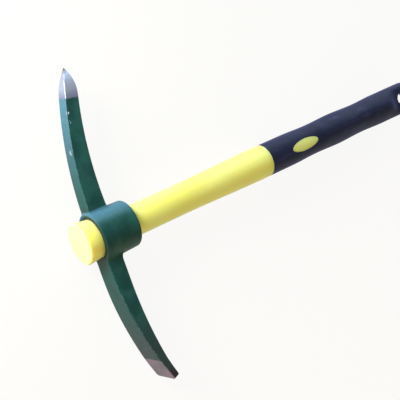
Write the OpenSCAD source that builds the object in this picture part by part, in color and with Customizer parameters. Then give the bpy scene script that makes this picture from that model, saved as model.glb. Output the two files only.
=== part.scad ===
// Hand pick with a round tapered eye: a forged head with a pick point and a chisel end,
// on a fibre rod covered with plastic and a soft grip.
// Millimetres. The origin is the centre of the flat end of the handle in front of the eye.
// +X runs along the handle to its butt, +Y to the pick point, and +Z is up with the tool lying flat.

/* [Handle] */
// Length of the handle over all
handle_len = 424; // [390:2:480]
// How far the handle stands out in front of the eye
stub_len = 14.4; // [10:0.2:20]
// How much the radius grows from the eye to the flat end
stub_flare = 1.35; // [0.6:0.05:2.4]
// Rounding of the rim of the flat end
stub_round = 2; // [0.5:0.1:6]
// Diameter of the waist behind the eye
waist_d = 28.6; // [26:0.2:30]
// Distance from the flat end to the end of the straight waist
waist_end = 100; // [80:2:140]
// Distance from the flat end to the start of the grip
grip_start = 211; // [180:1:240]

/* [Fibre rod] */
// Diameter of the rod inside the handle
rod_d = 16; // [12:0.5:18]
// Plastic left in front of the rod
rod_cover = 5; // [3:0.5:10]

/* [Grip] */
// Diameter of the grip at its swells
grip_d = 32; // [30:0.2:34]
// Depth of the dips between the swells
grip_dip = 0.9; // [0.2:0.1:1.6]
// Length of one dip, from swell to swell
grip_wave = 66; // [50:1:80]
// Distance from the start of the grip to its first dip
grip_lead = 29; // [10:1:60]
// Thickness of the rubber over the plastic
grip_wall = 4; // [3:0.2:5]
// Rounding of the butt
butt_round = 13; // [6:0.5:14]

/* [Windows in the grip] */
// Length of each oval window
window_len = 35; // [24:1:44]
// Width of each oval window
window_w = 11.5; // [8:0.5:14]
// Distance from the start of the grip to the middle of the windows
window_x = 44; // [30:1:60]
// How far the plastic in the windows lies below the rubber
window_drop = 0.2; // [0.1:0.1:0.8]

/* [Hanging slot] */
// Length of the slot
slot_len = 22; // [16:1:28]
// Width of the slot
slot_w = 13; // [8:0.5:14]
// Distance from the butt to the middle of the slot
slot_back = 17; // [16:1:30]
// Rubber that lines the slot
slot_lining = 1.6; // [1:0.1:3]
// Thickness of the flattened butt
butt_t = 19; // [14:0.5:26]
// Length of the slope from the round grip to the flat
butt_slope = 18; // [10:1:26]
// Thickness of the plastic tongue in the butt
tongue_t = 8; // [5:0.5:10]

/* [Eye] */
// Length of the eye collar
collar_len = 37; // [30:0.5:44]
// Wall of the eye collar
collar_wall = 5.2; // [3.5:0.1:6]
// How much the radius of the eye grows from back to front
eye_taper = 1.4; // [0.6:0.1:2]
// Length of handle that fills the eye, from its front
seat_len = 22; // [16:1:26]
// Room round the handle in the eye
seat_gap = 0.15; // [0.1:0.05:0.3]
// Room round the grip as the head slides off over it
slip_gap = 0.45; // [0.3:0.05:0.8]
// Rounding of the back rim of the collar
collar_round = 2.2; // [1:0.2:3.4]
// Fillet between the collar and the back of each arm
fillet_r = 4; // [2:0.5:8]

/* [Pick arm] */
// Reach of the point from the handle's axis
pick_reach = 145.4; // [120:1:170]
// Distance from the collar's front to the middle of the arm
pick_set = 10.2; // [9:0.2:14]
// Straight part of the arm, from the handle's axis
pick_straight = 19; // [10:1:30]
// Radius of the bend towards the butt
pick_bend = 350; // [280:10:600]
// Thickness at the collar
pick_root_t = 18; // [13:0.2:20]
// Thickness at the start of the point
pick_end_t = 12.8; // [9:0.2:15]
// Width at the collar
pick_root_w = 16.2; // [13:0.2:20]
// Width at the start of the point
pick_end_w = 14.4; // [10:0.2:16]
// Length of the ground point
point_len = 27.4; // [20:0.2:36]
// Width of the blunted tip
point_tip = 1.6; // [0.8:0.1:3]
// How far the tip is ground towards the front
point_lean = 3.2; // [0:0.1:4]

/* [Chisel arm] */
// Reach of the edge from the handle's axis
chisel_reach = 141.8; // [115:0.2:165]
// Distance from the collar's front to the middle of the arm
chisel_set = 7.6; // [7.4:0.1:12]
// Straight part of the arm, from the handle's axis
chisel_straight = 45; // [25:1:60]
// Radius of the bend towards the butt
chisel_bend = 385; // [300:5:600]
// Thickness at the collar
chisel_root_t = 15.2; // [12:0.2:18]
// Thickness at the start of the bevel
chisel_end_t = 7.6; // [6:0.2:11]
// How far the front bulges between the collar and the bevel
chisel_belly = 1.2; // [0:0.1:3]
// Width at the collar
chisel_root_w = 22; // [16:0.2:25]
// Width of the edge
chisel_edge_w = 33.4; // [26:0.2:38]
// Length of the ground bevel
bevel_len = 21; // [14:0.5:36]
// Thickness of the blunt edge
edge_t = 5.4; // [2:0.2:6]
// How far the back of the blunt edge lies short of its front
edge_slant = 2; // [0:0.2:4]

/* [Hidden] */
$fn = 96;

// A little more than a face, so that a cut runs clean through it
cut = 1;
// Steps along one bend, one wave of the grip and one rounding, and round one window
bend_steps = 14;
wave_steps = 12;
round_steps = 6;
window_steps = 40;
// Below 1, the bulge of the chisel lies nearer to the collar than to the bevel
belly_skew = 0.7;
// Above 1, the faces of the point are convex
point_power = 2.4;

grip_r = grip_d / 2;
waist_r = waist_d / 2;
under_grip_r = grip_r - grip_dip - grip_wall;
collar_front = stub_len;
collar_back = stub_len + collar_len;
eye_back_r = grip_r + slip_gap;
eye_front_r = eye_back_r + eye_taper;
seat_front_r = eye_front_r - seat_gap;
stub_r = seat_front_r + stub_flare;
seat_back = collar_front + seat_len;
seat_back_r = seat_front_r - eye_taper * seat_len / collar_len;
collar_front_r = eye_front_r + collar_wall;
collar_back_r = eye_back_r + collar_wall;
slot_x = handle_len - slot_back;
slope_end = slot_x - slot_len / 2 - slot_lining;
slope_start = slope_end - butt_slope;
tongue_start = slope_start + butt_slope / 3;
tongue_end = handle_len - butt_round / 2;
arm_root = collar_back_r;
waves = floor((handle_len - butt_round - grip_start - grip_lead) / grip_wave);
wave_end = grip_start + grip_lead + waves * grip_wave;
pick_x = collar_front + pick_set;
chisel_x = collar_front + chisel_set;
point_start = pick_reach - point_len;
bevel_start = chisel_reach - bevel_len;

function mix(a, b, s) = a + (b - a) * s;
function share(v, a, b) = max(0, min(1, (v - a) / (b - a)));
// A smooth step from 0 to 1
function ease(s) = (1 - cos(180 * s)) / 2;
// Radius of the grip at a distance from the flat end
function grip_at(x) =
    x < grip_start + grip_lead || x > wave_end ? grip_r
    : grip_r - grip_dip * (1 - cos(360 * (x - grip_start - grip_lead) / grip_wave)) / 2;
// Middle of an arm that runs straight and then bends towards the butt
function bend_x(x, y, straight, bend) = x + bend - sqrt(bend * bend - pow(max(0, y - straight), 2));
// Extra thickness at the back of an arm where the fillet meets the collar
function fillet_at(y) =
    y <= arm_root ? fillet_r
    : y >= arm_root + fillet_r ? 0
    : fillet_r - sqrt(fillet_r * fillet_r - pow(arm_root + fillet_r - y, 2));
// Share of the section left along the convex point
function point_at(y) = 1 - pow(share(y, point_start, pick_reach), point_power);
function pick_half_t(y) =
    max(point_tip, mix(pick_root_t, pick_end_t, share(y, arm_root, point_start)) * point_at(y)) / 2;
function pick_half_w(y) =
    max(point_tip, mix(pick_root_w, pick_end_w, share(y, arm_root, point_start)) * point_at(y)) / 2;
function pick_mid(y) =
    bend_x(pick_x, y, pick_straight, pick_bend) - point_lean * pow(share(y, point_start, pick_reach), 2);
function chisel_half_t(y) = mix(chisel_root_t, chisel_end_t, share(y, arm_root, bevel_start)) / 2;
function chisel_half_w(y) = mix(chisel_root_w, chisel_edge_w, share(y, arm_root, chisel_reach)) / 2;
function chisel_mid(y) = bend_x(chisel_x, y, chisel_straight, chisel_bend);
function bevel_at(y) = (chisel_end_t - edge_t) * share(y, bevel_start, chisel_reach);
function belly_at(y) = chisel_belly * sin(180 * pow(share(y, arm_root, bevel_start), belly_skew));
function slant_at(y) = edge_slant * share(y, bevel_start, chisel_reach);

// Distances along an arm at which its outline is drawn: the fillet, the arm and its worked end
function arm_stations(worked, reach) = concat(
    [0],
    [for (i = [0:round_steps]) arm_root + fillet_r * (1 - cos(90 * i / round_steps))],
    [for (i = [1:bend_steps]) mix(arm_root + fillet_r, worked, i / bend_steps)],
    [for (i = [1:round_steps]) mix(worked, reach, sin(90 * i / round_steps))]);
function backwards(list) = [for (i = [len(list) - 1:-1:0]) list[i]];

pick_stations = arm_stations(point_start, pick_reach);
chisel_stations = arm_stations(bevel_start, chisel_reach);

// Points of a quarter round, from one angle to another
function round_points(x, r, radius, from, to) =
    [for (i = [0:round_steps])
        let (a = mix(from, to, i / round_steps))
        [r + radius * cos(a), x + radius * sin(a)]];

// A solid of revolution about the handle's axis, from points given as radius and distance
module turned(points) {
    rotate([90, 0, 90])
        rotate_extrude()
            polygon(points);
}

// An upright prism with round ends, across the handle
module slot_prism(length, width, height) {
    linear_extrude(height, center = true)
        for (side = [-1, 1])
            union() {
                translate([side * (length - width) / 2, 0])
                    circle(d = width);
                translate([side * (length - width) / 4, 0])
                    square([(length - width) / 2, width], center = true);
            }
}

// The two oval windows, cut straight through the grip from above and below
module window_prism() {
    oval = [for (i = [0:window_steps - 1]) let (a = 360 * i / window_steps)
        [window_len / 2 * cos(a), window_w / 2 * sin(a)]];
    translate([grip_start + window_x, 0, 0])
        for (side = [0, 180])
            rotate([side, 0, 0])
                translate([0, 0, rod_d / 2])
                    linear_extrude(grip_r)
                        polygon(oval);
}

// The outside of the grip as it is turned, before the butt is flattened
module grip_turned(drop) {
    turned(concat(
        [[0, grip_start]],
        [[grip_r - drop, grip_start]],
        [for (i = [0:waves * wave_steps]) let (x = grip_start + grip_lead + i * grip_wave / wave_steps)
            [grip_at(x) - drop, x]],
        round_points(handle_len - butt_round, grip_r - drop - butt_round, butt_round, 0, 90),
        [[0, handle_len]]));
}

// Side outline of the butt: the full grip, a slope on both faces and a flat
module butt_slab() {
    slope = [for (i = [0:round_steps * 2]) let (s = i / (round_steps * 2))
        [mix(slope_start, slope_end, s), mix(grip_r, butt_t / 2, ease(s))]];
    upper = concat([[grip_start - cut, grip_r]], slope, [[handle_len + cut, butt_t / 2]]);
    lower = [for (p = backwards(upper)) [p[0], -p[1]]];
    rotate([90, 0, 0])
        linear_extrude(grip_d + 2 * cut, center = true)
            polygon(concat(upper, lower));
}

// The plastic that the rubber covers: a plain round length that ends in a flat tongue
module jacket_under_grip(slot_room) {
    translate([grip_start, 0, 0])
        rotate([0, 90, 0])
            cylinder(h = tongue_start - grip_start, r = under_grip_r);
    difference() {
        translate([tongue_start, -under_grip_r, -tongue_t / 2])
            cube([tongue_end - tongue_start, 2 * under_grip_r, tongue_t]);
        translate([slot_x, 0, 0])
            slot_prism(slot_len + 2 * slot_room, slot_w + 2 * slot_room, tongue_t + 2 * cut);
    }
}

// One arm drawn towards +Y: its front and back curves, and its half width, each cut straight through
module arm(front, back, half_width) {
    depth = 2 * (collar_back + max(chisel_edge_w, pick_root_w));
    intersection() {
        linear_extrude(depth, center = true)
            polygon(concat(front, backwards(back)));
        rotate([90, 0, 90])
            linear_extrude(depth)
                polygon(concat(half_width, [for (p = backwards(half_width)) [p[0], -p[1]]]));
    }
}

module pick_arm() {
    arm(
        [for (y = pick_stations) [pick_mid(y) - pick_half_t(y), y]],
        [for (y = pick_stations) [pick_mid(y) + pick_half_t(y) + fillet_at(y), y]],
        [for (y = pick_stations) [y, pick_half_w(y)]]);
}

module chisel_arm() {
    mirror([0, 1, 0])
        arm(
            [for (y = chisel_stations) [chisel_mid(y) - chisel_half_t(y) - belly_at(y) + bevel_at(y), y]],
            [for (y = chisel_stations) [chisel_mid(y) + chisel_half_t(y) + fillet_at(y), y - slant_at(y)]],
            [for (y = chisel_stations) [y, chisel_half_w(y)]]);
}

module collar() {
    turned(concat(
        [[0, collar_front], [collar_front_r, collar_front]],
        round_points(collar_back - collar_round, collar_back_r - collar_round, collar_round, 0, 90),
        [[0, collar_back]]));
}

// The tapered hole of the eye, a little longer than the collar at both ends
module eye_hole() {
    slope = eye_taper / collar_len;
    turned([
        [0, collar_front - cut],
        [eye_front_r + slope * cut, collar_front - cut],
        [eye_back_r - slope * cut, collar_back + cut],
        [0, collar_back + cut]]);
}

// Forged steel head: eye collar, pick arm and chisel arm in one piece
module pick_head() {
    color("darkslategray")
        difference() {
            union() {
                collar();
                pick_arm();
                chisel_arm();
            }
            eye_hole();
        }
}

// Yellow plastic moulded over the rod: flared stub, seat in the eye, waist, swell and tongue
module handle_jacket() {
    neck = [for (i = [1:round_steps * 2]) let (s = i / (round_steps * 2))
        [mix(seat_back_r, waist_r, ease(s)), mix(seat_back, collar_back, s)]];
    swell = [for (i = [0:round_steps * 2]) let (s = i / (round_steps * 2))
        [mix(waist_r, grip_r, ease(s)), mix(waist_end, grip_start, s)]];
    color("khaki")
        difference() {
            union() {
                turned(concat(
                    [[0, 0]],
                    round_points(stub_round, stub_r - stub_round, stub_round, -90, 0),
                    [[seat_front_r, collar_front], [seat_back_r, seat_back]],
                    neck,
                    swell,
                    [[0, grip_start]]));
                jacket_under_grip(slot_lining);
                intersection() {
                    window_prism();
                    grip_turned(window_drop);
                }
            }
            core_space();
        }
}

// The straight round space that the rod fills
module core_space() {
    translate([rod_cover, 0, 0])
        rotate([0, 90, 0])
            cylinder(h = tongue_start - rod_cover, d = rod_d);
}

// Drawn fibre rod that stiffens the handle
module core_rod() {
    color("tan")
        core_space();
}

// Black rubber moulded over the plastic, with two windows and a lined hanging slot
module grip_sleeve() {
    color("darkslateblue")
        difference() {
            intersection() {
                grip_turned(0);
                butt_slab();
            }
            jacket_under_grip(slot_lining);
            window_prism();
            core_space();
            translate([slot_x, 0, 0])
                slot_prism(slot_len, slot_w, grip_d);
        }
}

pick_head();
handle_jacket();
core_rod();
grip_sleeve();
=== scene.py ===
import math

import bmesh
import bpy
from mathutils import Matrix, Vector


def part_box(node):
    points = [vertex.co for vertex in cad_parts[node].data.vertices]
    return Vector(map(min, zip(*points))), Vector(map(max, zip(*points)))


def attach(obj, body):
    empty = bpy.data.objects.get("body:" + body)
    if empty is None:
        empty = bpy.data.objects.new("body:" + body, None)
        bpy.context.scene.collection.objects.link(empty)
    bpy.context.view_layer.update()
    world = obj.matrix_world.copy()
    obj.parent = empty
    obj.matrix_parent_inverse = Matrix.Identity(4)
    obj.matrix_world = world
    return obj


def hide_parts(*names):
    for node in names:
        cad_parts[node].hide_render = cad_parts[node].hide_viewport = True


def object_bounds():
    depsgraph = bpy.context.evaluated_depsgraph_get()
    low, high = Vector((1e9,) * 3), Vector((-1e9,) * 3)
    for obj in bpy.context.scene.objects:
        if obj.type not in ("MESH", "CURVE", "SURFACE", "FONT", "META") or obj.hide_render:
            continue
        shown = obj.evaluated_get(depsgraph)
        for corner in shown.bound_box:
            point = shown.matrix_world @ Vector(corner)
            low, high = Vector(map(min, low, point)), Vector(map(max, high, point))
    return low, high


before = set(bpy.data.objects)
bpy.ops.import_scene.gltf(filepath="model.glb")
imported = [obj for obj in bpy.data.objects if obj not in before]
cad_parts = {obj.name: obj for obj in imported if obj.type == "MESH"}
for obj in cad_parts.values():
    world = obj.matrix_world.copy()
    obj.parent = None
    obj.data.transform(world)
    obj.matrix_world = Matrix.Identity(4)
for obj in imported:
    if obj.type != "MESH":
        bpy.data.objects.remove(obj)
cadLow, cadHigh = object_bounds()
print("frame loaded:", ", ".join(sorted(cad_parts)))

scene = bpy.context.scene
scene.view_settings.view_transform = "Standard"
mm = 0.001  # shapes are written in millimetres and built in metres


def boxInMm(node):
    low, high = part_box(node)
    return low / mm, high / mm


# Camera: where the picture was taken from, and its roll

cameraSet = {
    "place": (-0.3096, 0.1206, 0.7300),
    "forward": (0.5087, -0.1500, -0.8478),
    "up": (0.3640, 0.9298, 0.0539),
    "lens": 83.7,  # on a 36 mm sensor
}


def makeCamera():
    data = bpy.data.cameras.new("photoCamera")
    data.lens = cameraSet["lens"]
    camera = bpy.data.objects.new("photoCamera", data)
    back = -Vector(cameraSet["forward"]).normalized()
    right = Vector(cameraSet["up"]).cross(back).normalized()
    turn = Matrix((right, back.cross(right), back)).transposed().to_4x4()
    camera.matrix_world = Matrix.Translation(cameraSet["place"]) @ turn
    scene.collection.objects.link(camera)
    scene.camera = camera


makeCamera()
print("camera set")


# Shape helpers

def mix(a, b, s):
    return a + (b - a) * s


def share(value, low, high):  # how far value lies from low to high, kept between 0 and 1
    return max(0.0, min(1.0, (value - low) / (high - low)))


def ease(s):  # from 0 to 1, slow at both ends
    return (1 - math.cos(math.pi * s)) / 2


def evenly(low, high, steps):
    return [mix(low, high, i / steps) for i in range(steps + 1)]


def slowing(low, high, steps):  # like evenly, but finer towards high
    return [mix(low, high, math.sin(a)) for a in evenly(0, math.pi / 2, steps)]


def quarter(radius, steps):  # (how far in, how far down) round a quarter of a circle
    turns = evenly(0, math.pi / 2, steps)
    return [(radius * (1 - math.sin(a)), radius * (1 - math.cos(a))) for a in turns]


def columnAngles(halves, wide, gap, gather=0.0):
    # Angles round a tube, finer over two opposite openings at 0 and half a turn,
    # and there drawn towards the middle by gather
    angles = []
    for middle, half, nextHalf in ((0.0, *halves), (math.pi, *halves[::-1])):
        angles += [middle + half * mix(u, u ** 3, gather) for u in evenly(-1, 1, wide)[:-1]]
        angles += evenly(middle + half, middle + math.pi - nextHalf, gap)[:-1]
    return angles


class Skin:
    # The points, in millimetres, and faces of one piece, gathered row by row
    flatWeight = 80  # above 50, large faces govern the shading of small ones beside them

    def __init__(self, marks=()):
        self.points = []
        self.faces = []
        self.marks = {name: [] for name in marks}  # values on the points, for the material
        self.cavity = []  # faces of an inner hollow

    def row(self, points, **marks):
        first = len(self.points)
        self.points += [tuple(p) for p in points]
        for name, values in self.marks.items():
            values += marks.get(name, [0.0] * len(points))
        return list(range(first, len(self.points)))

    def join(self, a, b, closed=True, skip=()):
        for k in range(len(a) if closed else len(a) - 1):
            if k not in skip:
                n = (k + 1) % len(a)
                self.faces.append((a[k], a[n], b[n], b[k]))

    def grow(self, last, points, **marks):  # a new row, joined to the last one
        ring = self.row(points, **marks)
        self.join(last, ring)
        return ring

    def tube(self, rows, holes=()):
        # A hole is (first row, last row, first column, last column)
        for r, (a, b) in enumerate(zip(rows, rows[1:])):
            cuts = [range(left, right) for top, foot, left, right in holes if top <= r < foot]
            self.join(a, b, skip=[c for cut in cuts for c in cut])

    def rim(self, rows, hole):
        # The loop round a hole: along its first row, down, back along its last row, and up
        top, foot, left, right = hole
        loop = [rows[top][c] for c in range(left, right)]
        loop += [rows[r][right] for r in range(top, foot)]
        loop += [rows[foot][c] for c in range(right, left, -1)]
        loop += [rows[r][left] for r in range(foot, top, -1)]
        return loop

    def lid(self, loop, wide):
        # Fills a four-sided loop with a grid of quads
        deep = len(loop) // 2 - wide
        near, far = loop[:wide + 1], loop[wide + deep:2 * wide + deep + 1][::-1]
        right, left = loop[wide:wide + deep + 1], [loop[0]] + loop[:2 * wide + deep - 1:-1]
        at = [Vector(p) for p in self.points]
        rows = [near]
        for j in range(1, deep):
            v = j / deep
            inner = []
            for i in range(1, wide):
                u = i / wide
                corners = at[near[0]].lerp(at[near[-1]], u).lerp(at[far[0]].lerp(at[far[-1]], u), v)
                sides = at[near[i]].lerp(at[far[i]], v) + at[left[j]].lerp(at[right[j]], u)
                inner.append(sides - corners)
            marks = {name: [values[loop[0]]] * len(inner) for name, values in self.marks.items()}
            rows.append([left[j]] + self.row(inner, **marks) + [right[j]])
        rows.append(far)
        for a, b in zip(rows, rows[1:]):
            self.join(a, b, closed=False)

    def build(self, name, node, body, material):
        mesh = bpy.data.meshes.new(name)
        mesh.from_pydata([[c * mm for c in p] for p in self.points], [], self.faces)
        work = bmesh.new()
        work.from_mesh(mesh)
        work.faces.ensure_lookup_table()
        hollow = [work.faces[k] for k in self.cavity]
        bmesh.ops.recalc_face_normals(work, faces=work.faces[:])
        bmesh.ops.reverse_faces(work, faces=hollow)
        work.to_mesh(mesh)
        work.free()
        for mark, values in self.marks.items():
            mesh.attributes.new(mark, "FLOAT", "POINT").data.foreach_set("value", values)
        mesh.shade_smooth()
        mesh.materials.append(material)
        piece = bpy.data.objects.new(name, mesh)
        scene.collection.objects.link(piece)
        normals = piece.modifiers.new("flatFaces", "WEIGHTED_NORMAL")
        normals.weight = self.flatWeight
        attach(piece, body)
        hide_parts(node)
        print("built", name, "with", len(self.faces), "faces")


# Shader helper: a socket that does sums, and makes any node

class Wire:
    def __init__(self, tree, socket=None):
        self.tree = tree
        self.socket = socket

    def node(self, kind, settings=None, inputs=None, output=0):
        made = self.tree.nodes.new("ShaderNode" + kind)
        for name, value in (settings or {}).items():
            setattr(made, name, value)
        for key, value in (inputs or {}).items():
            if isinstance(value, Wire):
                self.tree.links.new(value.socket, made.inputs[key])
            else:
                made.inputs[key].default_value = value
        return Wire(self.tree, made.outputs[output] if made.outputs else None)

    def sum(self, operation, *values):
        return self.node("Math", {"operation": operation}, dict(enumerate(values)))

    def __add__(self, other):
        return self.sum("ADD", self, other)

    def __radd__(self, other):
        return self.sum("ADD", other, self)

    def __sub__(self, other):
        return self.sum("SUBTRACT", self, other)

    def __rsub__(self, other):
        return self.sum("SUBTRACT", other, self)

    def __mul__(self, other):
        return self.sum("MULTIPLY", self, other)

    def __rmul__(self, other):
        return self.sum("MULTIPLY", other, self)

    def most(self, other):
        return self.sum("MAXIMUM", self, other)

    def rise(self, low, high):  # 0 below low, 1 above high, smooth between
        ends = {"Value": self, "From Min": low, "From Max": high}
        return self.node("MapRange", {"interpolation_type": "SMOOTHSTEP"}, ends)

    def tint(self, low, high):  # from one colour to another
        return self.node("Mix", {"data_type": "RGBA"}, {0: self, 6: low, 7: high}, 2)

    def mark(self, name):  # a value stored on the mesh's points
        return self.node("Attribute", {"attribute_name": name}, output=2)

    def place(self):
        return self.node("TexCoord", output=3)

    def axis(self, index):
        return self.node("SeparateXYZ", None, {0: self}, index)

    def stretch(self, scale):
        return self.node("VectorMath", {"operation": "MULTIPLY"}, {0: self, 1: scale})

    def distance(self, spot):
        return self.node("VectorMath", {"operation": "DISTANCE"}, {0: self, 1: spot}, 1)

    def grain(self, scale, detail):
        return self.node("TexNoise", None, {"Vector": self, "Scale": scale, "Detail": detail})

    def bump(self, height, distance, strength):
        ends = {"Strength": strength, "Distance": distance, "Height": height}
        return self.node("Bump", None, ends)

    def surface(self, values):
        return self.node("BsdfPrincipled", None, values)


def newMaterial(name, finish):
    # finish(wire) returns the shader that the surface shows
    material = bpy.data.materials.new(name)
    material.use_nodes = True
    material.node_tree.nodes.clear()
    wire = Wire(material.node_tree)
    wire.node("OutputMaterial", None, {"Surface": finish(wire)})
    return material


def colour(red, green, blue):  # from 0 to 255 as a picture shows it, to linear light
    parts = [c / 255 for c in (red, green, blue)]
    return tuple(c / 12.92 if c < 0.04045 else ((c + 0.055) / 1.055) ** 2.4 for c in parts) + (1.0,)


# Pick head: eye collar, pick arm and chisel arm in one skin

headLow, headHigh = boxInMm("pick_head")
jacketLow, jacketHigh = boxInMm("handle_jacket")
gripLow, gripHigh = boxInMm("grip_sleeve")

headShape = {
    "front": headHigh.x - 37.0,
    "back": headHigh.x,
    "frontRadius": headHigh.z,
    "backRadius": headHigh.z - 1.4,  # the outside tapers as the eye does
    "eyeFrontRadius": 17.85,
    "eyeBackRadius": 16.45,
    "rimRound": 0.8,  # front rim of the collar
    "backRound": 2.2,  # back rim of the collar
    "edgeBreak": 0.4,  # both rims of the eye
    "backFillet": 4.0,  # collar to the back of each arm
    "sideFillet": 2.2,  # collar to the sides of each arm
    "ridgeRound": 0.8,  # long edges of the arms
    "ridgeMost": 0.08,  # their largest rounding, as a share of an arm's half width
    "lineHalf": 0.35,  # half the width of a crease between ground and forged faces
    "wide": 12,  # columns of faces across each arm
    "gap": 26,  # columns between the arms
    "deep": 12,  # rows beside the arms
    "rimRows": 3,
    "tailRows": 5,  # behind the arms
    "backRows": 6,
    "boreRows": 4,
    "filletRows": 6,
    "ridgeRows": 2,  # in half of a ridge's rounding
}
pickShape = {
    "middle": headShape["front"] + 10.2,  # of the thickness, at the collar
    "reach": headHigh.y,
    "straight": 19.0,  # where the bend begins
    "bend": 350.0,  # its radius
    "rootThick": 18.0,
    "endThick": 12.8,
    "rootWide": 16.2,
    "endWide": 14.4,
    "pointLen": 27.4,
    "power": 2.4,  # above 1, the faces of the point are convex
    "lean": 3.2,  # how far in front of the bend the tip is ground
    "tip": 1.6,
    "tipFlat": 0.1,  # keeps the rounded tip from closing to nothing
    "litFrontStart": 12.0,  # from the root to where the painted light on the front begins
    "armRows": 18,
    "pointRows": 12,
}
chiselShape = {
    "middle": headShape["front"] + 7.6,  # of the thickness, at the collar
    "reach": -headLow.y,
    "straight": 45.0,  # where the bend begins
    "bend": 385.0,  # its radius
    "rootThick": 15.2,
    "endThick": 7.6,
    "edgeThick": 5.4,
    "rootWide": 22.0,
    "edgeWide": 33.4,
    "belly": 1.2,  # bulge of the front between collar and bevel
    "bellyPower": 0.7,  # below 1, the bulge is nearer to the collar
    "bevelLen": 21.0,
    "slant": 2.0,  # how much shorter the back is than the front at the edge
    "cornerRound": 3.0,  # corners of the edge
    "edgeLen": 9.0,  # stretch at the edge that has rows of its own
    "armRows": 16,
    "bevelRows": 4,
    "edgeRows": 2,
    "cornerRows": 5,
}
armRoot = headShape["backRadius"] + headShape["backFillet"]


def collarRadius(x):
    along = share(x, headShape["front"], headShape["back"])
    return mix(headShape["frontRadius"], headShape["backRadius"], along)


def bendAt(arm, y):
    over = max(0.0, y - arm["straight"])
    return arm["middle"] + arm["bend"] - math.sqrt(arm["bend"] ** 2 - over ** 2)


# A section is (front x, back x, half width, how much shorter the back is than the front)

def pickSection(y):
    arm = pickShape
    start = arm["reach"] - arm["pointLen"]
    along = share(y, headShape["backRadius"], start)
    ground = share(y, start, arm["reach"])
    kept = 1 - ground ** arm["power"]
    nose = share(y, arm["reach"] - arm["tip"], arm["reach"])
    blunt = arm["tip"] * math.sqrt(max(arm["tipFlat"], 1 - nose ** 2))
    halfThick = max(blunt, mix(arm["rootThick"], arm["endThick"], along) * kept) / 2
    halfWide = max(blunt, mix(arm["rootWide"], arm["endWide"], along) * kept) / 2
    middle = bendAt(arm, y) - arm["lean"] * ground ** 2
    return middle - halfThick, middle + halfThick, halfWide, 0.0


def chiselSection(y):
    arm = chiselShape
    start = arm["reach"] - arm["bevelLen"]
    along = share(y, headShape["backRadius"], start)
    ground = share(y, start, arm["reach"])
    halfThick = mix(arm["rootThick"], arm["endThick"], along) / 2
    belly = arm["belly"] * math.sin(math.pi * along ** arm["bellyPower"])
    halfWide = mix(arm["rootWide"], arm["edgeWide"], share(y, headShape["backRadius"], arm["reach"])) / 2
    corner = arm["cornerRound"]
    over = max(0.0, y - arm["reach"] + corner)
    halfWide -= corner - math.sqrt(corner ** 2 - over ** 2)
    middle = bendAt(arm, y)
    front = middle - halfThick - belly + (arm["endThick"] - arm["edgeThick"]) * ground
    return front, middle + halfThick, halfWide, arm["slant"] * ground


def sidePlaces(count, length, radius):
    # (along the side, in from it): a quarter round shared with each next side, even steps between
    steps = headShape["ridgeRows"]
    turns = evenly(math.pi / 4, math.pi / 2, steps)
    corner = [(radius * (1 - math.cos(a)), radius * (1 - math.sin(a))) for a in turns]
    spots = corner[:-1] + [(a, 0.0) for a in evenly(radius, length - radius, count - 2 * steps)]
    spots += [(length - along, inset) for along, inset in corner[-2:0:-1]]
    return spots


def sectionRing(section, wide, deep):
    # Points (x, z) round a section with rounded corners: front, +z side, back, -z side
    front, back, half, _ = section
    radius = min(headShape["ridgeRound"], headShape["ridgeMost"] * half)
    across = sidePlaces(wide, 2 * half, radius)
    along = sidePlaces(deep, back - front, radius)
    ring = [(front + inset, a - half) for a, inset in across]
    ring += [(front + a, half - inset) for a, inset in along]
    ring += [(back - inset, half - a) for a, inset in across]
    ring += [(back - a, inset - half) for a, inset in along]
    steps = headShape["ridgeRows"]
    ridge = []
    for side in (across, along) * 2:
        ridge += [float(i < steps or i > len(side) - steps) for i in range(len(side))]
    return ring, ridge


def growArm(skin, loop, side, section, stations, marksAt):
    # From the hole in the collar, through a fillet and along the stations, to the end
    wide = headShape["wide"]
    deep = len(loop) // 2 - wide
    root = stations[0]
    ring, ridge = sectionRing(section(root), wide, deep)
    foot = [Vector(skin.points[k]) for k in loop]
    knee = [Vector((x, side * math.sqrt(collarRadius(x) ** 2 - z * z), side * z)) for x, z in ring]
    edge = [Vector((x, side * root, side * z)) for x, z in ring]
    curves = list(zip(foot, knee, edge))
    last = loop
    for q in evenly(0, 1, headShape["filletRows"])[1:]:
        bent = [a * (1 - q) ** 2 + b * 2 * q * (1 - q) + c * q * q for a, b, c in curves]
        last = skin.grow(last, bent, ridge=[r * q for r in ridge])
    for y in stations[1:]:
        here = section(y)
        front, back, _, slant = here
        ring, ridge = sectionRing(here, wide, deep)
        points = [(x, side * (y - slant * share(x, front, back)), side * z) for x, z in ring]
        marks = {name: [mark(y, k <= wide) for k in range(len(ring))] for name, mark in marksAt.items()}
        last = skin.grow(last, points, ridge=ridge, **marks)
    skin.lid(last, wide)


def growPick(skin, loop):
    arm, line = pickShape, headShape["lineHalf"]
    start = arm["reach"] - arm["pointLen"]
    stations = evenly(armRoot, start - line, arm["armRows"])
    stations += slowing(start + line, arm["reach"], arm["pointRows"])
    marks = {"paintedFrontLight": lambda y, front: front * share(y, armRoot + arm["litFrontStart"], start)}
    growArm(skin, loop, 1, pickSection, stations, marks)


def growChisel(skin, loop):
    arm, line = chiselShape, headShape["lineHalf"]
    bevelStart = arm["reach"] - arm["bevelLen"]
    edgeStart = arm["reach"] - arm["edgeLen"]
    cornerStart = arm["reach"] - arm["cornerRound"]
    stations = evenly(armRoot, bevelStart - line, arm["armRows"])
    stations += evenly(bevelStart + line, edgeStart - line, arm["bevelRows"])
    stations += evenly(edgeStart + line, cornerStart, arm["edgeRows"])
    stations += slowing(cornerStart, arm["reach"], arm["cornerRows"])[1:]
    marks = {
        "bare": lambda y, front: float(front and y > bevelStart),
        "burnt": lambda y, front: share(y, bevelStart, arm["reach"]),
    }
    growArm(skin, loop, -1, chiselSection, stations, marks)


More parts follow.
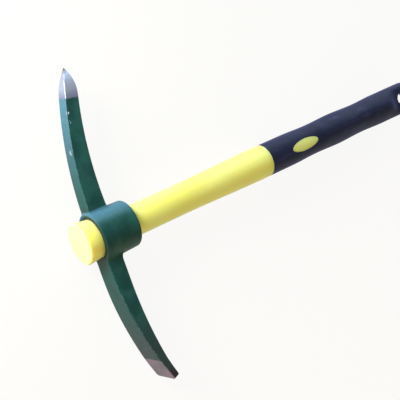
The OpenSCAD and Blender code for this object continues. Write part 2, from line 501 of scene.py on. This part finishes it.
def makeHead(material):
    head, arms = headShape, (pickShape, chiselShape)
    skin = Skin(("bare", "burnt", "paintedFrontLight", "ridge"))
    halves = [math.asin((arm["rootWide"] / 2 + head["sideFillet"]) / head["frontRadius"]) for arm in arms]
    backs = [arm["middle"] + arm["rootThick"] / 2 + head["backFillet"] for arm in arms]
    angles = columnAngles(halves, head["wide"], head["gap"])
    rows = []

    def holeBack(angle):
        return mix(*backs, ease(angle / math.pi))

    def addRow(place):  # place(angle) gives x and radius
        spots = [(*place(a), a) for a in angles]
        rows.append(skin.row([(x, r * math.cos(a), r * math.sin(a)) for x, r, a in spots]))

    def addOuter(along):  # along(angle) gives x on the collar's outside
        addRow(lambda a: (along(a), collarRadius(along(a))))

    addRow(lambda a: (head["front"], head["eyeFrontRadius"] + head["edgeBreak"]))
    rimRow = len(rows)
    for inward, down in quarter(head["rimRound"], head["rimRows"]):
        addRow(lambda a: (head["front"] + down, head["frontRadius"] - inward))
    sideRow = len(rows) - 1
    sideX, tailX = head["front"] + head["rimRound"], head["back"] - head["backRound"]
    for step in evenly(0, 1, head["deep"])[1:]:
        addOuter(lambda a: mix(sideX, holeBack(a), step))
    backRow = len(rows) - 1
    for step in evenly(0, 1, head["tailRows"])[1:]:
        addOuter(lambda a: mix(holeBack(a), tailX, step))
    for inward, down in quarter(head["backRound"], head["backRows"])[1:]:
        addRow(lambda a: (head["back"] - inward, collarRadius(tailX) - down))
    addRow(lambda a: (head["back"], head["eyeBackRadius"] + head["edgeBreak"]))
    for step in evenly(0, 1, head["boreRows"]):
        bore = mix(head["back"] - head["edgeBreak"], head["front"] + head["edgeBreak"], step)
        addRow(lambda a: (bore, mix(head["eyeBackRadius"], head["eyeFrontRadius"], step)))
    rows.append(rows[0])

    turn = head["wide"] + head["gap"]
    pickHole = (sideRow, backRow, 0, head["wide"])
    chiselHole = (rimRow, backRow, turn, turn + head["wide"])
    skin.tube(rows, (pickHole, chiselHole))
    growPick(skin, skin.rim(rows, pickHole))
    growChisel(skin, skin.rim(rows, chiselHole))
    skin.build("pickHead", "pick_head", "head", material)


paintFinish = {
    "green": colour(34, 80, 72),
    "greenDeep": colour(26, 65, 59),
    "wornAndLit": colour(88, 128, 126),  # thin paint on the ridges, and a painted highlight along them
    "paintedFrontLight": colour(70, 113, 128),  # painted light: front of the pick arm, paler and bluer towards the point, where it turns to the light
    "collarPaintedHighlight": colour(75, 122, 139),  # painted highlight: reflection of bright light on the collar's upper side, beside the pick arm
    "edgeGreyed": colour(50, 62, 62),  # paint greyer towards the chisel's edge
    "burnt": colour(52, 44, 48),  # sides of the chisel's edge
    "cornerShade": colour(22, 46, 40),  # painted shade in the corner between the collar's front and the handle
    "chip": colour(196, 208, 210),
    "pointSteel": colour(196, 204, 224),
    "pointHeat": colour(158, 168, 198),  # next to the paint line
    "tipDark": colour(112, 116, 104),
    "bevelSteel": colour(144, 120, 130),
    "bevelGrey": colour(98, 95, 99),
    "paintRough": 0.40,
    "steelRough": 0.42,
    "shine": 0.13,
    "roughGrain": (0.35, 3.0),  # scale per mm, and detail
    "cloudGrain": (0.07, 3.0),
    "fineGrain": (0.9, 2.0),
    "dentGrain": (0.16, 2.0),
    "grindGrain": (2.2, 3.0),
    "grindStretch": (1.0, 0.08, 1.0),
    "relief": 0.16 * mm,
    "reliefStrength": 0.6,
    "fineHigh": 0.35,  # shares of the relief
    "roughHigh": 0.4,
    "dentHigh": 1.5,
    "chipDeep": 0.6,
    "grindHigh": 0.7,
    "line": pickShape["reach"] - pickShape["pointLen"] + 1.0,  # paint line at the point's back ridge
    "lineLeanX": 0.12,  # how much nearer to the tip the line lies per mm forwards
    "lineLeanZ": 0.15,  # and per mm down
    "lineBackX": 44.5,  # place of that ridge
    "lineTopZ": 7.0,
    "lineStray": 1.6,  # how unevenly the line runs
    "heatLen": 9.0,  # from the line to clean steel
    "tipDarkening": (pickShape["reach"] - 4.0, pickShape["reach"] + 1.5),  # from where to where it grows
    "tipDarkStray": 3.0,
    "edgeGreying": (66.0, 112.0),  # from where to where it grows along the chisel arm
    "edgeGreyStray": 14.0,
    "edgeGreyMost": 0.8,
    "wornAndLitMost": 0.6,
    "collarHighlightFrom": (9.0, 22.0),  # from where to where the painted highlight grows, away from the handle's axis
    "collarHighlightTo": (23.0, 24.5),  # and where it ends
    "cornerShadeRadius": (19.5, 22.5),  # from where to where the painted shade fades
    "cornerShadeDeep": 1.5,
    "chips": (  # place and radius
        ((30.3, 109.0, 7.2), 2.6),
        ((22.3, 76.0, 2.4), 3.6),
        ((30.0, 101.0, 7.2), 1.8),
    ),
}


def paintOnSteel(wire):
    finish = paintFinish
    place = wire.place().stretch((1 / mm, 1 / mm, 1 / mm))
    x, y, z = (place.axis(index) for index in range(3))
    rough = place.grain(*finish["roughGrain"])
    cloud = place.grain(*finish["cloudGrain"]).rise(0.35, 0.65)
    fine = place.grain(*finish["fineGrain"])
    dents = place.grain(*finish["dentGrain"])
    grinding = place.stretch(finish["grindStretch"]).grain(*finish["grindGrain"])

    # Bare steel: the ground point past its leaning paint line, and the bevel
    forwards, down = finish["lineBackX"] - x, finish["lineTopZ"] - z
    line = y - finish["line"] - finish["lineLeanX"] * forwards - finish["lineLeanZ"] * down
    line = line + (rough - 0.5) * finish["lineStray"]
    pointBare = line.rise(-1.0, 1.0)
    bevelBare = (wire.mark("bare") + (rough - 0.5) * 0.5).rise(0.4, 0.6)
    pointSteel = line.rise(0.0, finish["heatLen"]).tint(finish["pointHeat"], finish["pointSteel"])
    # the steel darker towards the tip
    tipDarkening = (y + rough * finish["tipDarkStray"]).rise(*finish["tipDarkening"])
    pointSteel = tipDarkening.tint(pointSteel, finish["tipDark"])
    bevelSteel = (cloud * 0.5 + grinding * 0.5).tint(finish["bevelGrey"], finish["bevelSteel"])
    steel = pointBare.tint(bevelSteel, pointSteel)
    bare = pointBare.most(bevelBare)

    # Paint: mottled, greyed and burnt towards the edge, with painted light on the pick's front and a
    # painted highlight on the collar's top, painted shade round the handle, thin and with a painted
    # highlight on the ridges, and chipped
    paint = cloud.tint(finish["greenDeep"], finish["green"])
    # the paint greyer towards the chisel's edge
    edgeGreying = (0 - y + (cloud - 0.5) * finish["edgeGreyStray"]).rise(*finish["edgeGreying"])
    paint = (edgeGreying * finish["edgeGreyMost"]).tint(paint, finish["edgeGreyed"])
    burnt = (wire.mark("burnt") + (rough - 0.5) * 0.3).rise(0.35, 0.75)
    paint = burnt.tint(paint, finish["burnt"])
    # painted light: the front of the pick arm grows paler and bluer towards the point
    paintedFrontLight = wire.mark("paintedFrontLight") * (0.6 + rough * 0.8)
    paint = paintedFrontLight.tint(paint, finish["paintedFrontLight"])
    # painted highlight on the collar's upper side, the side towards the light
    collarHighlight = y.rise(*finish["collarHighlightFrom"]) * (1 - y.rise(*finish["collarHighlightTo"]))
    paint = (collarHighlight * (0.5 + rough * 0.5)).tint(paint, finish["collarPaintedHighlight"])
    # painted shade: the paint darker in the recess between the collar's front and the handle
    outside = (y * y + z * z).rise(*[r ** 2 for r in finish["cornerShadeRadius"]])
    cornerShade = (1 - outside) * (headShape["front"] + finish["cornerShadeDeep"] - x).rise(0.0, 1.0)
    paint = cornerShade.tint(paint, finish["cornerShade"])
    # worn paint on the ridges, and also a painted highlight along them
    wornAndLit = wire.mark("ridge") * (rough * 0.6 + dents * 0.6).rise(0.58, 0.72) * finish["wornAndLitMost"]
    paint = wornAndLit.tint(paint, finish["wornAndLit"])
    flakes = []
    for spot, radius in finish["chips"]:
        near = 1 - place.distance(spot).rise(radius * 0.4, radius)
        flakes.append(near * fine.rise(0.56, 0.6))
    chips = sum(flakes)
    paint = chips.tint(paint, finish["chip"])

    paintHeight = fine * finish["fineHigh"] + rough * finish["roughHigh"] + dents * finish["dentHigh"]
    paintHeight = paintHeight - chips * finish["chipDeep"]
    height = bare * (grinding * finish["grindHigh"]) + (1 - bare) * paintHeight
    steelRough = finish["steelRough"] + grinding * 0.12
    paintRough = finish["paintRough"] + cloud * 0.08
    return wire.surface({
        "Base Color": bare.tint(paint, steel),
        "Metallic": bare,
        "Roughness": bare * steelRough + (1 - bare) * paintRough,
        "Normal": wire.bump(height, finish["relief"], finish["reliefStrength"]),
        "Specular IOR Level": finish["shine"],
    })


makeHead(newMaterial("greenPaintOnSteel", paintOnSteel))


# Handle: sizes and outlines that the yellow jacket and the black grip share

handleShape = {
    "start": jacketLow.x,
    "end": gripHigh.x,
    "faceRings": (0.4, 5.0, 10.0),  # radii on the flat end
    "stubRadius": jacketHigh.z,
    "stubRound": 2.0,
    "stubFirst": 6.0,  # first ring behind the rounded rim
    "stubLen": headShape["front"],
    "seatRadius": 17.7,  # just inside the eye's front
    "seatBack": 36.4,
    "seatBackRadius": 16.87,
    "waistStart": headShape["back"],
    "waistEnd": 100.0,
    "waistRadius": 14.3,
    "gripStart": gripLow.x,
    "underRadius": 11.1,  # plastic under the rubber
    "rodRadius": 8.0,
    "rodStart": 5.0,
    "rodEnd": 382.4,
    "tongueStart": 383.4,
    "forkStart": 394.4,
    "tongueEnd": jacketHigh.x,
    "tongueHalfWide": 10.7,
    "tongueHalfThick": 4.0,
    "seam": 0.35,  # round edge of the plastic and of the rubber where they meet
    "openHalf": math.radians(42),  # half the angle that the columns over an opening span
    "gather": 0.65,  # how much those columns are drawn together
    "wide": 16,  # columns of faces over each opening
    "gap": 16,  # columns between the openings
    "prong": 2,  # columns in each prong of the tongue
    "rimRows": 6,
    "stubRows": 4,
    "fadeRows": 10,  # from the seat to the waist
    "waistRows": 6,
    "swellRows": 22,
    "underRows": 6,  # from the windows to the tongue
    "prongRows": 4,
    "rodRows": 4,
}
windowShape = {
    "x": 255.0,
    "halfLen": 17.5,
    "halfWide": 5.75,
    "lip": 0.6,  # rounded edge of the rubber, and of the oval in it
    "drop": 0.2,  # how far the oval lies below the rubber
    "gap": 0.06,  # between them
    "room": 4.0,  # from the lip to the ends of the hole in the rows
    "deep": 20,  # rows of faces along the hole
    "lipRows": 4,
    "fan": (0.3, 0.6, 0.85),  # rings between the hole and the lip, as shares of the way
    "footFan": (0.5, 1.0),  # rings between the hole and the foot of the oval
    "topRings": (0.8, 0.55, 0.3),  # rings on the oval, as shares of its size
}
gripShape = {
    "radius": gripHigh.z,
    "lead": 29.0,  # plain length before the waves
    "wave": 66.0,
    "waves": 2,
    "dip": 0.9,
    "flatStart": 366.4,  # where the flats of the butt begin to form
    "flatEnd": 394.4,
    "flatFrom": 1.6,  # how many radii from the axis they begin
    "halfThick": 9.5,
    "blunt": 8.0,  # how tightly the flats meet the round sides
    "buttRound": 13.0,
    "edgeRound": 3.4,
    "lineStart": 278.0,  # moulding line from the windows to the slot
    "lineEnd": 392.0,
    "lineRun": 12.0,  # how soon it rises and fades
    "lineHigh": 0.45,
    "lineWide": 0.045,  # as a share of the radius
    "roof": 1.0,  # how much the sides of the line are flattened
    "passes": 12,  # in which the height of the rubber over a point settles
    "seamRows": 3,
    "leadRows": 8,
    "middleRows": 44,
    "tailRows": 10,
}
handleAngles = columnAngles(
    (handleShape["openHalf"], handleShape["openHalf"]),
    handleShape["wide"], handleShape["gap"], handleShape["gather"],
)


def holeLines(shape):
    reach = shape["halfLen"] + shape["lip"] + shape["room"]
    return evenly(shape["x"] - reach, shape["x"] + reach, shape["deep"])


def holePair(top, lines):
    # The same hole, from row top on, on the upper and on the lower side
    wide = handleShape["wide"]
    foot = top + len(lines) - 1
    turn = wide + handleShape["gap"]
    return (top, foot, 0, wide), (top, foot, turn, turn + wide)


def roundRow(x, r):
    return [(x, r * math.sin(a), r * math.cos(a)) for a in handleAngles]


def flatRow(x, halfWide, halfThick):
    wide, gap = handleShape["wide"], handleShape["gap"]
    loop = [(x, y, halfThick) for y in evenly(-halfWide, halfWide, wide)[:-1]]
    loop += [(x, halfWide, z) for z in evenly(halfThick, -halfThick, gap)[:-1]]
    loop += [(x, y, -halfThick) for y in evenly(halfWide, -halfWide, wide)[:-1]]
    loop += [(x, -halfWide, z) for z in evenly(-halfThick, halfThick, gap)[:-1]]
    return loop


def underRows(skin, lines):
    # Where plastic and rubber meet: round under the windows, then flat along the tongue
    handle = handleShape
    rounds = lines + evenly(lines[-1], handle["tongueStart"], handle["underRows"])[1:]
    rows = [skin.row(roundRow(x, handle["underRadius"])) for x in rounds]
    for x in (handle["tongueStart"], handle["forkStart"]):
        rows.append(skin.row(flatRow(x, handle["tongueHalfWide"], handle["tongueHalfThick"])))
    return rows


def loopSpots(deep):
    # (side, share along it) of each point round a hole
    sides = enumerate((handleShape["wide"], deep) * 2)
    return [(side, i / steps) for side, steps in sides for i in range(steps)]


def ovalSpot(side, q):
    u, v = [(2 * q - 1, -1), (1, 2 * q - 1), (1 - 2 * q, 1), (-1, 1 - 2 * q)][side]
    long = math.hypot(u, v)
    return v / long, u / long


def ovalLoop(shape, grow):
    spots = [ovalSpot(*spot) for spot in loopSpots(shape["deep"])]
    return [(a * (shape["halfLen"] + grow), b * (shape["halfWide"] + grow)) for a, b in spots]


def gripRound(x):
    grip = gripShape
    past = x - handleShape["gripStart"] - grip["lead"]
    if not 0 < past < grip["waves"] * grip["wave"]:
        return grip["radius"]
    return grip["radius"] - grip["dip"] * ease(2 * past / grip["wave"])


def ovalZ(x, y):
    return math.sqrt((gripRound(x) - windowShape["drop"]) ** 2 - y * y)


def underZ(x, y):
    return math.sqrt(handleShape["underRadius"] ** 2 - y * y)


def sinkRings(skin, loop, centreX, up, rings, surfaceZ):
    # Rings that run in from a hole's edge: each is (outline, share of the way from the edge, depth)
    edge = [(skin.points[k][0] - centreX, skin.points[k][1] * up) for k in loop]
    last = loop
    for outline, s, depth in rings:
        points = []
        for (ex, ey), (ox, oy) in zip(edge, outline):
            x, y = mix(ex, ox, s), mix(ey, oy, s)
            points.append((centreX + x, y * up, (surfaceZ(centreX + x, y) - depth) * up))
        last = skin.grow(last, points)
    return last


def addFork(skin, row):
    # Ends the flat tongue in two prongs, one on each side of the slot
    handle = handleShape
    wide, gap, prong = handle["wide"], handle["gap"], handle["prong"]
    turn = wide + gap
    x, edge, _ = skin.points[row[wide - prong]]
    heights = evenly(handle["tongueHalfThick"], -handle["tongueHalfThick"], gap)[1:-1]
    right = [row[wide - prong]] + skin.row([(x, edge, z) for z in heights]) + [row[turn + prong]]
    left = [row[prong]] + skin.row([(x, -edge, z) for z in heights]) + [row[turn + wide - prong]]
    between = row[prong:wide - prong] + right[:-1] + row[turn + prong:turn + wide - prong] + left[:0:-1]
    skin.lid(between, wide - 2 * prong)
    for last in (
        row[wide - prong:turn + prong] + right[:0:-1],
        row[:prong] + left[:-1] + row[turn + wide - prong:],
    ):
        for end in evenly(x, handle["tongueEnd"], handle["prongRows"])[1:]:
            last = skin.grow(last, [(end, *skin.points[k][1:]) for k in last])
        skin.lid(last, prong)


# Jacket: yellow plastic with a flared stub, and raised ovals in the grip's windows

def jacketProfile():
    # (x, radius) from the flat end to the step where the rubber begins
    handle, full = handleShape, gripShape["radius"]
    start, seam = handle["start"], handle["seam"]

    def stubAt(x):
        along = share(x, handle["stubRound"], handle["stubLen"])
        return x, mix(handle["stubRadius"], handle["seatRadius"], along)

    def fadeAt(q):
        x = mix(handle["seatBack"], handle["waistStart"], q)
        return x, mix(handle["seatBackRadius"], handle["waistRadius"], ease(q))

    def swellAt(x):
        along = share(x, handle["waistEnd"], handle["gripStart"])
        return x, mix(handle["waistRadius"], full, ease(along))

    waist = evenly(handle["waistStart"], handle["waistEnd"], handle["waistRows"])[1:]
    swell = evenly(handle["waistEnd"], handle["gripStart"] - seam, handle["swellRows"])[1:]
    spots = [(start, r) for r in handle["faceRings"]]
    for inward, down in quarter(handle["stubRound"], handle["rimRows"]):
        spots.append((start + down, handle["stubRadius"] - inward))
    spots += [stubAt(x) for x in evenly(handle["stubFirst"], handle["stubLen"], handle["stubRows"])]
    spots += [fadeAt(q) for q in evenly(0, 1, handle["fadeRows"])]
    spots += [(x, handle["waistRadius"]) for x in waist]
    spots += [swellAt(x) for x in swell]
    return spots + [(handle["gripStart"], full - seam), (handle["gripStart"], handle["underRadius"])]


def addOval(skin, loop, up):
    # Raises the plastic through a window of the rubber
    window = windowShape
    foot = ovalLoop(window, -window["gap"])
    footRings = [(foot, s, 0.0) for s in window["footFan"]]
    loop = sinkRings(skin, loop, window["x"], up, footRings, underZ)
    rings = []
    for inward, down in quarter(window["lip"], window["lipRows"])[::-1]:
        rings.append((ovalLoop(window, -window["gap"] - inward), 1.0, down))
    top = ovalLoop(window, -window["gap"] - window["lip"])
    for size in window["topRings"]:
        rings.append(([(a * size, b * size) for a, b in top], 1.0, 0.0))
    loop = sinkRings(skin, loop, window["x"], up, rings, ovalZ)
    skin.lid(loop, handleShape["wide"])


def hollowForRod(skin):
    handle = handleShape
    first = len(skin.faces)
    along = evenly(handle["rodStart"], handle["rodEnd"], handle["rodRows"])
    rows = [skin.row(roundRow(x, handle["rodRadius"])) for x in along]
    skin.tube(rows)
    skin.lid(rows[0], handle["wide"])
    skin.lid(rows[-1], handle["wide"])
    skin.cavity = list(range(first, len(skin.faces)))


def makeJacket(material):
    skin = Skin()
    rows = [skin.row(roundRow(x, r)) for x, r in jacketProfile()]
    centre = skin.row([(handleShape["start"], 0, 0)])[0]
    for a, b in zip(rows[0], rows[0][1:] + rows[0][:1]):
        skin.faces.append((a, b, centre))
    lines = holeLines(windowShape)
    holes = holePair(len(rows), lines)
    rows += underRows(skin, lines)
    skin.tube(rows, holes)
    addFork(skin, rows[-1])
    for up, hole in zip((1, -1), holes):
        addOval(skin, skin.rim(rows, hole), up)
    hollowForRod(skin)
    skin.build("handleJacket", "handle_jacket", "handle", material)


plasticFinish = {
    "lemon": colour(240, 235, 131),
    "lemonWarm": colour(238, 228, 107),
    "scuffAndHighlight": colour(243, 240, 158),  # end of the stub: a scuff, and a painted highlight of its lit end face
    "scuffAndHighlightEnd": (0.4 * mm, 2.2 * mm),  # from where to where it fades
    "rough": 0.46,
    "shine": 0.45,
    "sheen": 0.3,
    "sheenRough": 0.5,
    "glow": 0.8,  # how much light passes under the surface
    "glowRadius": (1.0, 0.6, 0.06),
    "glowScale": 0.012,
    "flowStretch": (12.0, 60.0, 60.0),
    "flowGrain": (1.0, 2.0),  # scale per metre, and detail
    "fineGrain": (1600.0, 2.0),
    "relief": 0.05 * mm,
    "reliefStrength": 0.5,
}


def yellowPlastic(wire):
    finish = plasticFinish
    place = wire.place()
    flow = place.stretch(finish["flowStretch"]).grain(*finish["flowGrain"]).rise(0.3, 0.7)
    fine = place.grain(*finish["fineGrain"])
    # paler end of the stub: a scuff, and a painted highlight of the lit end face
    scuffAndHighlight = 1 - place.axis(0).rise(*finish["scuffAndHighlightEnd"])
    lemon = flow.tint(finish["lemonWarm"], finish["lemon"])
    return wire.surface({
        "Base Color": scuffAndHighlight.tint(lemon, finish["scuffAndHighlight"]),
        "Roughness": finish["rough"] + fine * 0.08,
        "Normal": wire.bump(fine, finish["relief"], finish["reliefStrength"]),
        "Specular IOR Level": finish["shine"],
        "Sheen Weight": finish["sheen"],
        "Sheen Roughness": finish["sheenRough"],
        "Subsurface Weight": finish["glow"],
        "Subsurface Radius": finish["glowRadius"],
        "Subsurface Scale": finish["glowScale"],
    })


makeJacket(newMaterial("yellowPlastic", yellowPlastic))


# Grip: black rubber with two windows, a flattened butt and a hanging slot

slotShape = {
    "x": 407.0,
    "halfLen": 11.0,
    "halfWide": 6.5,
    "lip": 1.2,  # rounded edge of the rubber
    "room": 1.4,  # from the lip to the ends of the hole in the rows
    "deep": 14,  # rows of faces along the hole
    "lipRows": 5,
    "wallRows": 3,
    "fan": (0.4, 0.75),  # rings between the hole and the lip, as shares of the way
}


def mouldLine(x, angle):
    grip = gripShape
    rises = share(x - grip["lineStart"], 0, grip["lineRun"])
    fades = share(grip["lineEnd"] - x, 0, grip["lineRun"])
    peak = max(0.0, 1 - abs(math.sin(angle)) / grip["lineWide"])
    return ease(rises * fades) * (grip["lineHigh"] * peak - grip["roof"] * math.sin(2 * angle) ** 2)


def gripRadius(x, angle):
    grip = gripShape
    r = gripRound(x) + mouldLine(x, angle)
    if x <= grip["flatStart"]:
        return r
    formed = ease(share(x, grip["flatStart"], grip["flatEnd"]))
    flat = mix(grip["flatFrom"] * grip["radius"], grip["halfThick"], formed)
    power = grip["blunt"]
    return (r ** -power + (abs(math.cos(angle)) / flat) ** power) ** (-1 / power)


def gripZ(x, y):
    angle = 0.0
    for _ in range(gripShape["passes"]):
        angle = math.atan2(y, gripRadius(x, angle) * math.cos(angle))
    return gripRadius(x, angle) * math.cos(angle)


def slotLoop(shape, grow):
    halfWide = shape["halfWide"] + grow
    straight = shape["halfLen"] - shape["halfWide"]
    loop = []
    for side, q in loopSpots(shape["deep"]):
        a = math.pi * (q - 0.5)
        if side == 0:
            loop.append((-straight - halfWide * math.cos(a), halfWide * math.sin(a)))
        elif side == 1:
            loop.append((mix(-straight, straight, q), halfWide))
        elif side == 2:
            loop.append((straight + halfWide * math.cos(a), -halfWide * math.sin(a)))
        else:
            loop.append((mix(straight, -straight, q), -halfWide))
    return loop


def lipRings(shape, outline):
    # From a hole's edge to the rounded lip of a window or of the slot
    rings = [(outline(shape, shape["lip"]), s, 0.0) for s in shape["fan"]]
    for inward, down in quarter(shape["lip"], shape["lipRows"]):
        rings.append((outline(shape, inward), 1.0, down))
    return rings


def leftAt(x, half, radius):
    # The share of half that is left at x, where radius rounds off the end of the butt
    over = max(0.0, x - handleShape["end"] + radius)
    return (half - radius + math.sqrt(max(0.0, radius ** 2 - over ** 2))) / half


def outerRow(x):
    grip = gripShape
    sideways = leftAt(x, grip["radius"], grip["buttRound"])
    upright = leftAt(x, grip["halfThick"], grip["edgeRound"])
    polar = [(gripRadius(x, a), a) for a in handleAngles]
    return [(x, r * math.sin(a) * sideways, r * math.cos(a) * upright) for r, a in polar]


def addWindow(skin, outer, inner, up):
    window = windowShape
    outer = sinkRings(skin, outer, window["x"], up, lipRings(window, ovalLoop), gripZ)
    inner = sinkRings(skin, inner, window["x"], up, [(ovalLoop(window, 0), 1.0, 0.0)], underZ)
    skin.join(outer, inner)


def addSlot(skin, loops):
    slot = slotShape
    rings = lipRings(slot, slotLoop)
    upper, lower = (sinkRings(skin, loop, slot["x"], up, rings, gripZ) for up, loop in zip((1, -1), loops))
    # The lower loop runs the other way round, so its points are paired in reverse
    lower = [lower[(handleShape["wide"] - k) % len(lower)] for k in range(len(lower))]
    ends = [(Vector(skin.points[a]), Vector(skin.points[b])) for a, b in zip(upper, lower)]
    last = upper
    for q in evenly(0, 1, slot["wallRows"])[1:-1]:
        last = skin.grow(last, [a.lerp(b, q) for a, b in ends])
    skin.join(last, lower)


def makeGrip(material):
    handle, grip = handleShape, gripShape
    skin = Skin()
    windowLines, slotLines = holeLines(windowShape), holeLines(slotShape)
    lead = evenly(handle["gripStart"] + handle["seam"], windowLines[0], grip["leadRows"])[1:-1]
    middle = evenly(windowLines[-1], slotLines[0], grip["middleRows"])[1:-1]
    tail = slowing(slotLines[-1], handle["end"], grip["tailRows"])[1:]
    rows = []
    for inward, down in quarter(handle["seam"], grip["seamRows"]):
        rows.append(skin.row(roundRow(handle["gripStart"] + down, grip["radius"] - inward)))
    rows += [skin.row(outerRow(x)) for x in lead]
    windowHoles = holePair(len(rows), windowLines)
    rows += [skin.row(outerRow(x)) for x in windowLines + middle]
    slotHoles = holePair(len(rows), slotLines)
    rows += [skin.row(outerRow(x)) for x in slotLines + tail]
    skin.tube(rows, windowHoles + slotHoles)
    skin.lid(rows[-1], handle["wide"])

    inner = [skin.row(roundRow(handle["gripStart"], handle["underRadius"]))]
    innerHoles = holePair(len(inner), windowLines)
    inner += underRows(skin, windowLines)
    skin.tube(inner, innerHoles)
    addFork(skin, inner[-1])
    skin.join(rows[0], inner[0])
    for up, hole, innerHole in zip((1, -1), windowHoles, innerHoles):
        addWindow(skin, skin.rim(rows, hole), skin.rim(inner, innerHole), up)
    addSlot(skin, [skin.rim(rows, hole) for hole in slotHoles])
    skin.build("gripSleeve", "grip_sleeve", "handle", material)


rubberFinish = {
    "black": colour(20, 25, 48),
    "blackWarm": colour(17, 21, 40),
    "dust": colour(47, 52, 86),  # pale streaks from handling
    "dustMost": 0.6,
    "rough": 0.5,
    "shine": 0.22,
    "sheen": 0.35,
    "sheenRough": 0.45,
    "sheenTint": colour(126, 140, 240),
    "cloudGrain": (90.0, 2.0),  # scale per metre, and detail
    "fineGrain": (1400.0, 3.0),
    "dustStretch": (60.0, 180.0, 180.0),
    "dustGrain": (1.0, 4.0),
    "relief": 0.08 * mm,
    "reliefStrength": 0.7,
}


def blackRubber(wire):
    finish = rubberFinish
    place = wire.place()
    cloud = place.grain(*finish["cloudGrain"]).rise(0.35, 0.65)
    fine = place.grain(*finish["fineGrain"])
    streaks = place.stretch(finish["dustStretch"]).grain(*finish["dustGrain"])
    dust = streaks.rise(0.5, 0.75) * finish["dustMost"]
    black = cloud.tint(finish["blackWarm"], finish["black"])
    return wire.surface({
        "Base Color": dust.tint(black, finish["dust"]),
        "Roughness": finish["rough"] + fine * 0.15,
        "Normal": wire.bump(fine, finish["relief"], finish["reliefStrength"]),
        "Specular IOR Level": finish["shine"],
        "Sheen Weight": finish["sheen"],
        "Sheen Roughness": finish["sheenRough"],
        "Sheen Tint": finish["sheenTint"],
    })


makeGrip(newMaterial("blackRubber", blackRubber))


# Fibre rod: the solid from the frame, with drawn fibres along it

rodFinish = {
    "resin": colour(226, 216, 180),
    "fibre": colour(196, 184, 146),
    "rough": 0.4,
    "strandStretch": (30.0, 2400.0, 2400.0),
    "strandGrain": (1.0, 3.0),  # scale per metre, and detail
    "relief": 0.06 * mm,
    "reliefStrength": 0.6,
}


def drawnFibre(wire):
    finish = rodFinish
    strands = wire.place().stretch(finish["strandStretch"]).grain(*finish["strandGrain"])
    return wire.surface({
        "Base Color": strands.rise(0.35, 0.65).tint(finish["resin"], finish["fibre"]),
        "Roughness": finish["rough"] + strands * 0.2,
        "Normal": wire.bump(strands, finish["relief"], finish["reliefStrength"]),
    })


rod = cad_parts["core_rod"]
rod.data.materials.clear()
rod.data.materials.append(newMaterial("drawnFibre", drawnFibre))
print("finished the fibre rod")


# Floor, world and lamps

floorSet = {
    "size": 20.0,
    "wall": 3.0,  # height of the walls round it
    "matt": (0.92, 0.84, 0.62, 1.0),
    "bright": (1.0, 1.0, 1.0, 1.0),
    "glow": 0.90,  # share of bright in what the camera sees; the rest is matt and takes the shadow
}
worldSet = {"colour": (1.0, 0.96, 0.82, 1.0), "strength": 0.31}
lampSet = {
    "keyLamp": {
        "place": (-0.33, 0.43, 0.21),
        "size": (0.34, 0.34),
        "watts": 6.2,
        "colour": (0.95, 1.0, 1.12),
    },
    "windowPanel": {
        "place": (0.78, 1.05, 0.20),
        "size": (1.3, 0.40),
        "watts": 9.0,
        "colour": (0.62, 0.82, 1.0),
    },
    "warmFill": {
        "place": (0.10, -0.95, 0.30),
        "size": (0.8, 0.8),
        "watts": 4.2,
        "colour": (1.0, 0.84, 0.48),
    },
}


def paleFloor(wire):
    rays = ("Is Camera Ray", "Is Glossy Ray", "Is Transmission Ray")
    camera, glossy, through = (wire.node("LightPath", output=name) for name in rays)
    glow = camera.most(glossy).most(through) * floorSet["glow"]
    matt = wire.node("BsdfDiffuse", None, {"Color": floorSet["matt"]})
    bright = wire.node("Emission", None, {"Color": floorSet["bright"], "Strength": 1.0})
    return wire.node("MixShader", None, {0: glow, 1: matt, 2: bright})


def makeFloor():
    half = floorSet["size"] / 2
    corners = [(-half, -half), (half, -half), (half, half), (-half, half)]
    spots = [(x, y, up) for up in (0.0, floorSet["wall"]) for x, y in corners]
    count = len(corners)
    walls = [(i, i + count, (i + 1) % count + count, (i + 1) % count) for i in range(count)]
    mesh = bpy.data.meshes.new("paleFloor")
    mesh.from_pydata(spots, [], [tuple(range(count))] + walls)
    mesh.materials.append(newMaterial("paleFloor", paleFloor))
    floor = bpy.data.objects.new("paleFloor", mesh)
    floor.location.z = cadLow.z
    scene.collection.objects.link(floor)


def makeWorld():
    world = bpy.data.worlds.new("softStudio")
    world.use_nodes = True
    sky = world.node_tree.nodes["Background"]
    sky.inputs["Color"].default_value = worldSet["colour"]
    sky.inputs["Strength"].default_value = worldSet["strength"]
    scene.world = world


def makeLamps():
    for name, lamp in lampSet.items():
        data = bpy.data.lights.new(name, "AREA")
        data.energy = lamp["watts"]
        data.shape = "RECTANGLE"
        data.size, data.size_y = lamp["size"]
        data.color = lamp["colour"]
        light = bpy.data.objects.new(name, data)
        light.location = lamp["place"]
        light.rotation_euler = (-Vector(lamp["place"])).to_track_quat("-Z", "Y").to_euler()
        light.visible_camera = False
        scene.collection.objects.link(light)


makeFloor()
makeWorld()
makeLamps()
print("floor, world and lamps set")

bpy.context.view_layer.update()
